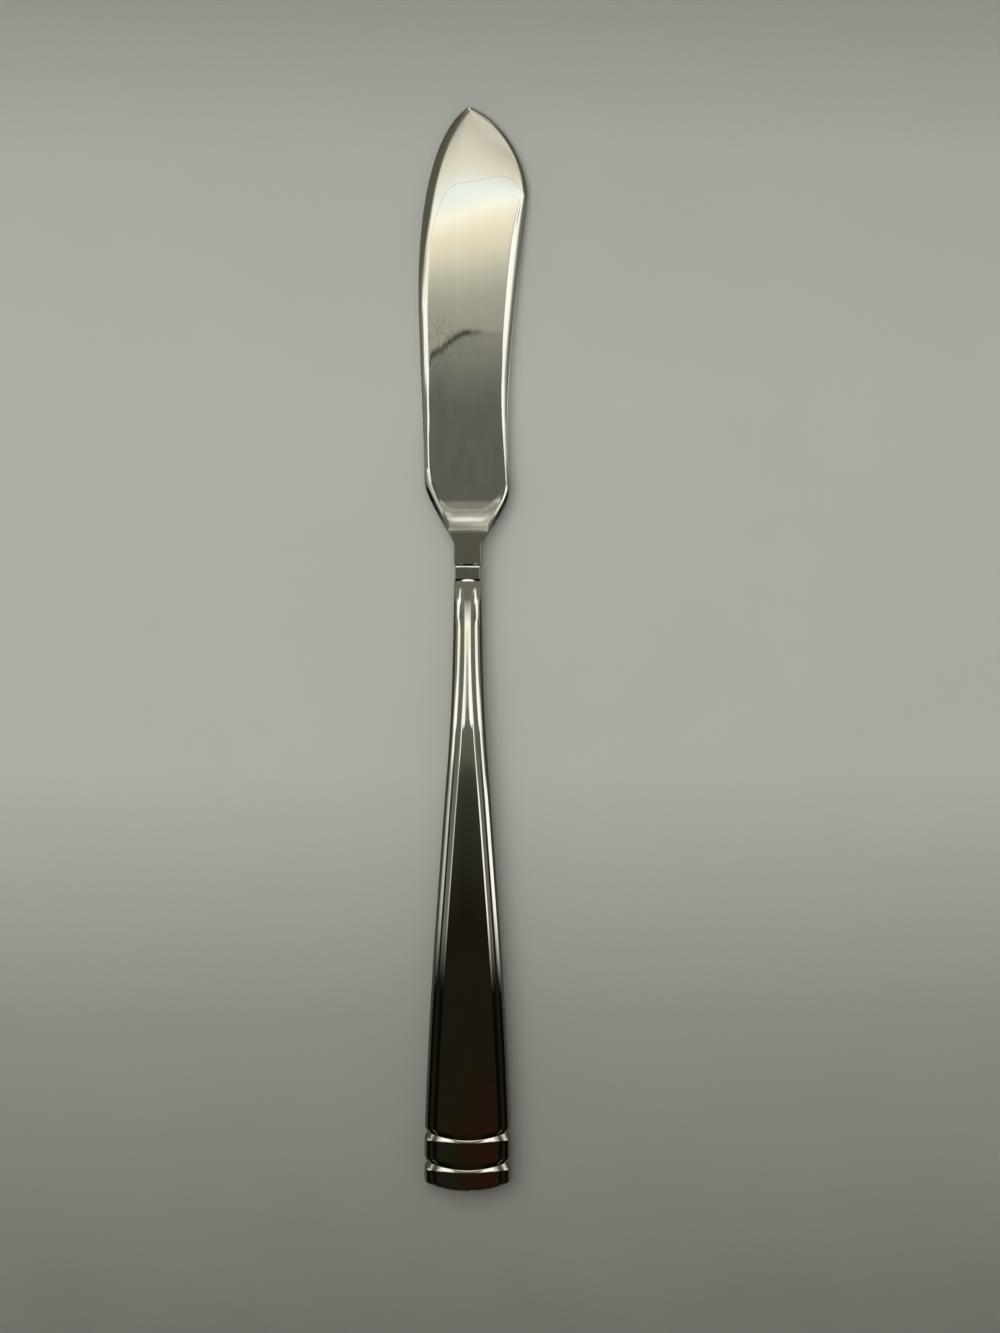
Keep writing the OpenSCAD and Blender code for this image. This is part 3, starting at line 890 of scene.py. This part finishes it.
def bladePiece():
    b = SimpleNamespace(**bladeSizes)
    left = sideLine(-1, b.edgeShoulder, b.edgeReach, b.edgeFullAt, edgeShares)
    right = sideLine(1, b.spineShoulder, b.spineReach, b.spineFullAt, spineShares)
    neckY = mouthY + (collarHigh.y - collarLow.y) + b.neckLength
    drop = seamZ - b.tipThickness / 2 - b.faceCrown

    def tilt(y):
        return -np.maximum(0, y - b.rampFoot) / (b.length - b.rampFoot) * drop

    def plate(y):
        return mix(b.thickness, b.tipThickness, np.maximum(0, y / b.length))

    def neckInset(y):
        return b.neckBevel * limited(1 - (y + b.neckLength) / b.neckBevel)

    # Half the thickness away from the edges: the neck, its ramp with a rounded foot, and the thin plate
    def fullHalf(x, y):
        beside = np.abs(x)
        foot = b.rampFoot + b.rampCurve * np.maximum(0, beside - b.rampTurn) ** 2
        lowered = smoothAt(rampShares, np.clip((y - b.rampTop) / (foot - b.rampTop), 0, 0.9999))
        raised = (1 - lowered) * (1 - past(beside, *b.neckFadeAcross) * past(y, *b.neckFadeAlong))
        crown = b.neckCrown * np.minimum(b.crownLimit, (x / (b.neckWidth / 2)) ** 2)
        return mix(plate(y) / 2, b.neckThickness / 2 - crown, raised) - neckInset(y)

    # Fall from the face to one edge: a soft roll, then beyond the shoulders a small rounding at the rim
    def edgeFall(y, distance, roll):
        place = np.clip(y / mm, roll[0][0], roll[-1][0] - 0.001)
        width = smoothAt([(p, w) for p, w, d in roll], place) * mm
        depth = smoothAt([(p, d) for p, w, d in roll], place) * mm
        depth = np.minimum(depth, plate(y) / 2 - b.leastRim)
        rolled = depth * (1 - limited(distance / width)) ** rollPower
        cornerHeight = (plate(y) / 2 - b.leastRim - depth) * past(y, *b.cornerStarts)
        radius = mix(b.edgeRounding, b.tipRounding, past(y, *b.roundingFades))
        corner = cornerHeight * (1 - np.sqrt(1 - (1 - limited(distance / radius)) ** 2))
        return rolled + corner

    def topHalf(points, toLeft, toRight):
        x, y = points[:, 0], points[:, 1]
        leftFall, rightFall = edgeFall(y, toLeft, edgeRoll), edgeFall(y, toRight, spineRoll)
        fall = (leftFall ** meetPower + rightFall ** meetPower) ** (1 / meetPower)
        across = toLeft / (toLeft + toRight)
        crown = b.faceCrown * 4 * across * (1 - across) * past(y, *b.crownStarts)
        return fullHalf(x, y) - fall + crown

    # Points a distance inwards from a side line
    def inwards(line, distance):
        run = spansOf(line)
        run[line[:, 1] <= 0] = (0, 1)
        run /= np.linalg.norm(run, axis=1)[:, None]
        turn = 1 if line[0, 0] < 0 else -1
        return line + distance[:, None] * turn * np.stack([run[:, 1], -run[:, 0]], 1)

    turn = np.linspace(0, math.pi / 2, bladeMesh["roundingColumns"])
    rolling = stepsTo(0, 1, bladeMesh["rollColumns"]) ** bladeMesh["rollPacking"]
    nominal = np.concatenate([
        b.edgeRounding * (1 - np.cos(turn)),
        mix(b.edgeRounding, bladeMesh["rollReach"], rolling),
    ])
    faceShares = np.linspace(0, 0.5, bladeMesh["faceColumns"])[1:-1]

    def sidePoints(line, other, mirrored):
        fit = np.minimum(1, bladeMesh["narrowShare"] * np.linalg.norm(line - other, axis=1) / nominal[-1])
        columns = [(inwards(line, distance * fit), distance * fit) for distance in nominal]
        own, far = inwards(line, nominal[-1] * fit), inwards(other, nominal[-1] * fit)
        columns += [(mix(own, far, share), None) for share in faceShares]
        made = []
        for p, known in columns:
            near = distanceTo(line, p) if known is None else known
            away = distanceTo(other, p)
            half = topHalf(p, away, near) if mirrored else topHalf(p, near, away)
            made.append((p, half))
        upper = [np.column_stack([p, tilt(p[:, 1]) + half]) for p, half in made]
        lower = [np.column_stack([p, tilt(p[:, 1]) - half]) for p, half in made]
        return np.stack(lower[::-1] + upper, 1)

    rings = np.concatenate([sidePoints(left, right, False), sidePoints(right, left, True)[:, ::-1]], 1)
    rings += (centreX, neckY, seamZ)
    faces = loftFaces(*rings.shape[:2])
    points = [tuple(p) for p in rings.reshape(-1, 3)]
    tangEnd = mouthY - b.tangLength
    tangRoot = neckY - b.neckLength + b.tangRoot
    start = len(points)
    points += oblong(tangEnd, b.tangEndWidth, b.tangEndThickness, b.tangRounding)
    points += oblong(tangRoot, b.tangWidth, b.tangThickness, b.tangRounding)
    tangFaces = loftFaces(2, (len(points) - start) // 2)
    faces += [tuple(start + i for i in face) for face in tangFaces]
    made = meshObject("bladeBody", points, [face[::-1] for face in faces], bladeSteel)
    shadeSmooth(made, bladeMesh["creaseAngle"])
    return made


blade = bladePiece()
finishPiece(blade, "blade")


# Makes tones come out as written, since the steel gives back about three quarters of what it reflects
reflectedStrength = 1.32
table = {
    "reach": 3,
    "top": -0.02 * mm,
    # Its tones along the knife, in millimetres: painted shade, darker towards both ends where the light
    # falls off
    "paintedFalloffTones": [(-115, 113, 113, 108), (-60, 146, 147, 142), (-20, 181, 183, 178),
              (40, 181, 183, 178), (80, 174, 176, 171), (105, 151, 152, 147)],
    "mottleTone": tone(159, 160, 154),
    "mottleScale": 45,
    "mottleStart": 0.35,
    "mottleShade": 0.25,
    "grainScale": 2600,
    "bumpStrength": 0.1,
    "bumpDistance": 0.02 * mm,
    "roughness": 0.7,
    "shine": 0.25,
    # Painted reflection that the knife's low flanks see of it, glowing for glossy rays, dark where it is
    # painted shadow beside the knife
    "reflected": [(-90, 62, 60, 52), (15, 50, 48, 40), (24, 44, 42, 34),
                  (32, 150, 150, 142), (40, 185, 186, 178), (58, 165, 166, 158),
                  (68, 86, 86, 76), (90, 76, 76, 66)],
}


# The pale table, with painted shade darkening it towards both ends; the steel sees its own shade of it as a
# painted reflection that glows, with painted shadow beside the knife, and from below it is clear
def tableMaterial():
    material, tree, place = newMaterial("paleTable")
    along = tree.axes(place).pick("Y") / mm
    cloud = tree.noise(place, table["mottleScale"], detail=4, roughness=0.6)
    grain = tree.noise(place, table["grainScale"], detail=3, roughness=0.6)
    mottle = limited(cloud - table["mottleStart"]) * table["mottleShade"]
    # Painted shade: the table's tones darken towards both ends of the knife
    colour = tree.mixColours(mottle, tree.ramp(along, table["paintedFalloffTones"]), table["mottleTone"])
    surface = tree.add("ShaderNodeBsdfPrincipled", {}, {
        "Base Color": colour, "Roughness": table["roughness"],
        "Specular IOR Level": table["shine"], "Normal": tree.bump(table, grain),
    })
    clear = tree.add("ShaderNodeBsdfTransparent")
    fromBelow = tree.add("ShaderNodeNewGeometry", output="Backfacing")
    both = tree.mixShaders(fromBelow, surface, clear)
    # Painted reflection: for glossy rays the table glows with these tones, its dark parts a painted shadow
    # of the knife
    glow = {"Color": tree.ramp(along, table["reflected"]), "Strength": reflectedStrength}
    paintedReflectionGlow = tree.add("ShaderNodeEmission", {}, glow)
    rays = tree.add("ShaderNodeLightPath")
    both = tree.mixShaders(rays.pick("Is Glossy Ray"), both, paintedReflectionGlow)
    tree.add("ShaderNodeOutputMaterial", {}, {"Surface": both})
    return material


def flatPiece(name, low, high, height, material):
    corners = [(low[0], low[1]), (high[0], low[1]), (high[0], high[1]), (low[0], high[1])]
    return meshObject(name, [(*corner, height) for corner in corners], [(0, 1, 2, 3)], material)


reach = table["reach"]
floor = flatPiece("table", (-reach, -reach), (reach, reach), table["top"], tableMaterial())


# Degrees that a direction leans along the knife or sideways, each with the tone there.
# A pair of numbers gives where a change starts or ends, and the run that it takes
room = {
    # The dark shape over the camera, from the butt end's side to the tip's
    "hood": [
        (-7, 23, 13, 5), (-5, 26, 16, 8), (-3.4, 24, 20, 11), (-2.6, 36, 35, 28),
        (-1.6, 46, 47, 40), (0, 60, 60, 53), (1.5, 81, 80, 69), (3.2, 84, 84, 74),
        (5.5, 90, 91, 82), (6.7, 95, 96, 87), (7.05, 109, 108, 100),
        (7.35, 124, 124, 114), (7.6, 134, 133, 122)],
    "hoodReach": 7.74,
    "hoodWidth": 17.3,
    "hoodNarrowing": 13.3,
    "hoodNarrows": (6.2, 1.3),
    "hoodSide": 2.6,
    "hoodEdge": 0.03,
    "axisLean": 0.46,  # how far the knife's axis leans, as the camera sees it
    "toRight": (-0.5, 1),
    "bowLeft": 0.2,
    "bowRight": 0.088,
    "bowSettles": 0.35,
    # The dark line round the hood's far edge
    "archTone": tone(36, 34, 30),
    "archLeft": 0.11,
    "archRight": 0.035,
    "archThins": (-0.8, 1.6),
    "archStarts": (6.9, 0.2),
    # The lamp and the ceiling ahead of the knife
    "ceiling": [
        (7.3, 150, 149, 134), (7.9, 158, 154, 139), (8.2, 167, 165, 150),
        (8.4, 181, 179, 162), (8.6, 207, 203, 182), (8.9, 229, 219, 196),
        (9.05, 238, 227, 199), (9.18, 250, 241, 212), (9.32, 253, 250, 234),
        (9.45, 241, 251, 248), (9.6, 236, 240, 230), (9.75, 230, 227, 212),
        (9.95, 220, 214, 196), (10.25, 206, 200, 183), (10.5, 190, 185, 170),
        (10.95, 165, 160, 147), (11.6, 101, 100, 89), (16, 110, 108, 96),
        (24, 128, 125, 113), (38, 160, 157, 145), (47, 225, 222, 210),
        (52, 250, 248, 238), (66, 246, 243, 233), (72, 122, 112, 102), (80, 84, 76, 68)],
    "darkTone": tone(106, 102, 90),  # a dark patch in it, straight ahead
    "darkSide": (6, 3),
    "darkStarts": (28, 5),
    "darkEnds": (46, 4),
    # The window beside that ceiling, which only the slopes to either side see
    "window": [
        (10, 112, 110, 98), (18, 210, 208, 197), (66, 252, 251, 244),
        (72, 122, 112, 102), (80, 84, 76, 68)],
    "windowStarts": (17.5, 3),
    "windowInner": (6, 4),
    "windowOuter": (40, 8),
    # The walls on either side, and the brighter part of each
    "leftWall": [
        (-90, 98, 96, 86), (-50, 100, 98, 88), (-42, 106, 104, 94), (-36, 140, 138, 129),
        (-30, 184, 183, 174), (-8, 202, 201, 192)],
    "rightWall": [
        (8, 255, 255, 246), (26, 252, 251, 240), (32, 200, 198, 187), (38, 118, 116, 104),
        (50, 100, 98, 87), (90, 98, 96, 86)],
    "leftBright": tone(253, 252, 243),
    "leftBrightStarts": (1, 3),
    "leftBrightSide": (-34, 4),
    "rightBright": tone(251, 250, 240),
    "rightBrightSide": (44, 4),
    "rightBrightEnds": (2.5, 2),
    "wallsMeet": (-5, 10),
    # Where walls and ceiling meet
    "ceilingStarts": (8.5, 0.8),
    "wallsEnd": (36, 16),
    "ceilingAlone": (20, 10),
    "wallsAlone": (34, 6),
    "sidesStart": (8, 4),
    "rightStarts": (4, 3),
    # What lights the table, and what the camera would see past it
    "lightTone": tone(196, 197, 188),
    "lightStrength": 0.62,
    "seenTone": tone(186, 187, 178),
}


# The room, which the polished steel reflects
def roomWorld():
    r = SimpleNamespace(**room)
    world = bpy.data.worlds.new("softRoom")
    bpy.context.scene.world = world
    tree = Tree(world)
    axes = tree.axes(tree.add("ShaderNodeTexCoord", output="Generated"))
    up = larger(axes.pick("Z"), 0.001)  # never quite level
    side = angleOf(axes.pick("X") / up)
    along = angleOf(axes.pick("Y") / up)
    sideways = plainSize(side)

    ceiling = tree.ramp(along, r.ceiling)
    beside = past(sideways, *r.windowInner) * before(sideways, *r.windowOuter)
    window = tree.ramp(along, r.window)
    ceiling = tree.mixColours(past(along, *r.windowStarts) * beside, ceiling, window)
    dark = before(sideways, *r.darkSide) * past(along, *r.darkStarts) * before(along, *r.darkEnds)
    ceiling = tree.mixColours(dark, ceiling, r.darkTone)

    leftBright = past(along, *r.leftBrightStarts) * past(side, *r.leftBrightSide)
    leftWall = tree.mixColours(leftBright, tree.ramp(side, r.leftWall), r.leftBright)
    rightBright = before(side, *r.rightBrightSide) * before(along, *r.rightBrightEnds)
    rightWall = tree.mixColours(rightBright, tree.ramp(side, r.rightWall), r.rightBright)
    walls = tree.mixColours(past(side, *r.wallsMeet), leftWall, rightWall)
    meeting = past(along, *r.ceilingStarts) * before(along, *r.wallsEnd)
    around = tree.mixColours(meeting, walls, ceiling)
    around = tree.mixColours(past(along, *r.ceilingAlone), around, ceiling)
    around = tree.mixColours(past(sideways, *r.wallsAlone), around, walls)
    beyond = larger(past(sideways, *r.sidesStart), past(side, *r.rightStarts))
    outside = tree.mixColours(beyond, ceiling, around)

    lean = side + r.axisLean
    bow = mix(r.bowLeft, r.bowRight, past(lean, *r.toRight))
    farEdge = r.hoodReach - bow * lean * lean / (1 + lean * lean * r.bowSettles)
    halfWidth = r.hoodWidth - r.hoodNarrowing * past(along, *r.hoodNarrows)
    inHood = limited((farEdge - along) / r.hoodEdge) * ease((halfWidth - sideways) / r.hoodSide + 0.5)
    thickness = mix(r.archLeft, r.archRight, past(side, *r.archThins))
    arch = ease((along - farEdge + thickness) / r.hoodEdge) * past(along, *r.archStarts)
    hood = tree.mixColours(arch, tree.ramp(along, r.hood), r.archTone)
    pattern = tree.mixColours(inHood, outside, hood)

    rays = tree.add("ShaderNodeLightPath")
    reflected = tree.add("ShaderNodeBackground", {}, {"Color": pattern, "Strength": reflectedStrength})
    light = tree.add("ShaderNodeBackground", {}, {"Color": r.lightTone, "Strength": r.lightStrength})
    seen = tree.add("ShaderNodeBackground", {}, {"Color": r.seenTone})
    lit = tree.mixShaders(rays.pick("Is Glossy Ray"), light, reflected)
    both = tree.mixShaders(rays.pick("Is Camera Ray"), lit, seen)
    tree.add("ShaderNodeOutputWorld", {}, {"Surface": both})


lamp = {
    "place": (-0.25, 0.15, 0.9),
    "size": 0.9,
    "power": 6.5,
    "colour": (1, 0.985, 0.95),
}


# A soft square lamp that points at the knife and doesn't show in the steel
def softLamp():
    data = bpy.data.lights.new("overheadLamp", "AREA")
    data.size = lamp["size"]
    data.energy = lamp["power"]
    data.color = lamp["colour"]
    made = bpy.data.objects.new("overheadLamp", data)
    bpy.context.scene.collection.objects.link(made)
    made.location = lamp["place"]
    made.rotation_euler = (-made.location).to_track_quat("-Z", "Y").to_euler()
    made.visible_glossy = False


# Places on the cards over the table, in metres. A pair gives where a change starts or ends, and its run
cards = {
    "height": 0.4,
    "liningHeight": 0.401,
    "tipGlance": 0.16,  # how far along a card the blade's tip sees itself
    "bodySpan": ((-3, -3), (3, -0.05)),
    "bodyEdge": (-0.05, 0.03),
    "bodyTone": tone(26, 24, 16),
    "warmTone": tone(34, 19, 11),
    "warmAcross": (-0.15, 0.3),
    "warmScale": 9,
    "warmWander": 0.54,
    "warmAlong": (-0.08, 0.06),
    "deepTone": tone(24, 17, 9),
    "deepEnds": (-0.17, 0.04),
    "sideTone": tone(9, 8, 5),
    "sideStarts": (0.115, 0.03),
    "outerTone": tone(18, 16, 11),
    "outerStarts": (0.6, 0.3),
    "lampStarts": (0.44, 0.04),
    "lampEnds": (0.58, 0.04),
    "lampSide": (0.4, 0.04),
    "leftSpan": ((-1.6, 0.13), (0, 1.6)),
    "leftRound": (0.045, 0.1),
    "leftFront": (0.139, 0.014),
    "rightSpan": ((0, 0.11), (1.6, 1.6)),
    "rightRound": (0.17, 0.06),
    "rightFront": (0.12, 0.04),
    "cornerSide": (0.02, 0.05),
    "cornerSlant": (0.015, 0.1, 0.28, 0.04),  # start, from where along, slope and run
    "cornerNear": tone(84, 84, 71),
    "cornerFar": tone(78, 76, 64),
    "cornerFades": (0.14, 0.4),
    "liningSpan": ((-0.01, 0.13), (0.4, 0.4)),
    "liningReach": (0.2, 0.03),
    "liningAheadSide": (-0.006, 0.014),
    "liningAheadFront": (0.153, 0.006),
    "liningBesideSide": (0.03, 0.02),
    "liningBesideFront": (0.138, 0.01),
    "liningInner": tone(201, 197, 181),
    "liningOuter": tone(176, 174, 160),
    "liningFades": (0.05, 0.14),
    "liningBeside": tone(244, 242, 230),
    "liningBesideEnds": (0.158, 0.01),
    "railSpan": ((-1.2, 0.05), (1.2, 0.1)),
    "railSide": (0.17, 0.03),
    "railStarts": (0.05, 0.012),
    "railEnds": (0.096, 0.01),
    "railInner": tone(108, 107, 95),
    "railOuter": tone(92, 90, 79),
    "railFades": (0.4, 0.3),
}


# A card over the table that only the polished steel sees, covering what its rule says
def reflectedCard(name, span, height, cover, colour):
    material, tree, place = newMaterial(name)
    axes = tree.axes(place)
    x, y = axes.pick("X"), axes.pick("Y")
    clear = tree.add("ShaderNodeBsdfTransparent")
    glow = tree.add("ShaderNodeEmission", {}, {"Color": colour(tree, x, y), "Strength": reflectedStrength})
    covered = tree.mixShaders(cover(x, y), clear, glow)
    tree.add("ShaderNodeOutputMaterial", {}, {"Surface": covered})
    card = flatPiece(name, *span, height, material)
    for ray in ("camera", "diffuse", "shadow", "transmission"):
        setattr(card, "visible_" + ray, False)


def fromTipGlance(x, y):
    ahead = y - cards["tipGlance"]
    return rootOf(x * x + ahead * ahead)


# The dark side behind the butt end
def bodyCover(x, y):
    return before(y, *cards["bodyEdge"])


def bodyTone(tree, x, y):
    cloud = tree.noise(tree.add("ShaderNodeTexCoord", output="Object"), cards["warmScale"], detail=3)
    wandering = x + (cloud - 0.5) * cards["warmWander"]
    warm = past(wandering, *cards["warmAcross"]) * before(y, *cards["warmAlong"])
    colour = tree.mixColours(warm, cards["bodyTone"], cards["warmTone"])
    colour = tree.mixColours(before(y, *cards["deepEnds"]), colour, cards["deepTone"])
    colour = tree.mixColours(past(plainSize(x), *cards["sideStarts"]), colour, cards["sideTone"])
    return tree.mixColours(past(plainSize(x), *cards["outerStarts"]), colour, cards["outerTone"])


# A dark corner of the room ahead, which a rim of the blade's point sees, with a gap for the lamp that
# the mouth of the handle sees
def cornerCover(side, roundEdge, front):
    def cover(x, y):
        out = x * side
        start, slantFrom, slope, run = cards["cornerSlant"]
        lampGap = past(y, *cards["lampStarts"]) * before(y, *cards["lampEnds"])
        lampGap = lampGap * before(out, *cards["lampSide"])
        around = past(fromTipGlance(x, y), *cards[roundEdge]) * past(out, *cards["cornerSide"])
        slanted = past(out, start + (y - slantFrom) * slope, run)
        return around * past(y, *cards[front]) * slanted * (1 - lampGap)
    return cover


def cornerTone(tree, x, y):
    return tree.mixColours(past(y, *cards["cornerFades"]), cards["cornerNear"], cards["cornerFar"])


# Pale lining of the right corner, so that the point's right side stays light up to its rim
def liningCover(x, y):
    ahead = past(x, *cards["liningAheadSide"]) * past(y, *cards["liningAheadFront"])
    beside = past(x, *cards["liningBesideSide"]) * past(y, *cards["liningBesideFront"])
    return before(fromTipGlance(x, y), *cards["liningReach"]) * larger(ahead, beside)


def liningTone(tree, x, y):
    outwards = past(fromTipGlance(x, y), *cards["liningFades"])
    ahead = tree.mixColours(outwards, cards["liningInner"], cards["liningOuter"])
    return tree.mixColours(before(y, *cards["liningBesideEnds"]), ahead, cards["liningBeside"])


# Low dark rails to either side, which the rims near the shoulders see
def railCover(x, y):
    side = past(plainSize(x), *cards["railSide"])
    return side * past(y, *cards["railStarts"]) * before(y, *cards["railEnds"])


def railTone(tree, x, y):
    return tree.mixColours(past(plainSize(x), *cards["railFades"]), cards["railInner"], cards["railOuter"])


roomWorld()
level, liningLevel = cards["height"], cards["liningHeight"]
leftCover = cornerCover(-1, "leftRound", "leftFront")
rightCover = cornerCover(1, "rightRound", "rightFront")
reflectedCard("bodyCard", cards["bodySpan"], level, bodyCover, bodyTone)
reflectedCard("leftCorner", cards["leftSpan"], level, leftCover, cornerTone)
reflectedCard("rightCorner", cards["rightSpan"], level, rightCover, cornerTone)
reflectedCard("cornerLining", cards["liningSpan"], liningLevel, liningCover, liningTone)
reflectedCard("sideRails", cards["railSpan"], liningLevel, railCover, railTone)
softLamp()
print("table and light made")


photo = {
    "width": 1000,
    "height": 1333,
    "tipRow": 105.5,
    "buttRow": 1189.3,
    "axisColumn": 467.7,
    "cameraHeight": 700 * mm,
    "clipStart": 10 * mm,
}


# The camera looks straight down, placed by where the photograph shows the tip, the butt and the axis
def photoCamera():
    pixel = (cadBox[1].y - cadBox[0].y) / (photo["buttRow"] - photo["tipRow"])
    data = bpy.data.cameras.new("photoCamera")
    camera = bpy.data.objects.new("photoCamera", data)
    bpy.context.scene.collection.objects.link(camera)
    across = centreX + (photo["width"] / 2 - photo["axisColumn"]) * pixel
    middleRow = (photo["tipRow"] + photo["buttRow"]) / 2
    along = (middleRow - photo["height"] / 2) * pixel
    camera.location = (across, along, seamZ + photo["cameraHeight"])
    data.lens = data.sensor_width * photo["cameraHeight"] / (photo["height"] * pixel)
    data.clip_start = photo["clipStart"]
    bpy.context.scene.camera = camera


photoCamera()
bpy.context.scene.view_settings.view_transform = "Standard"
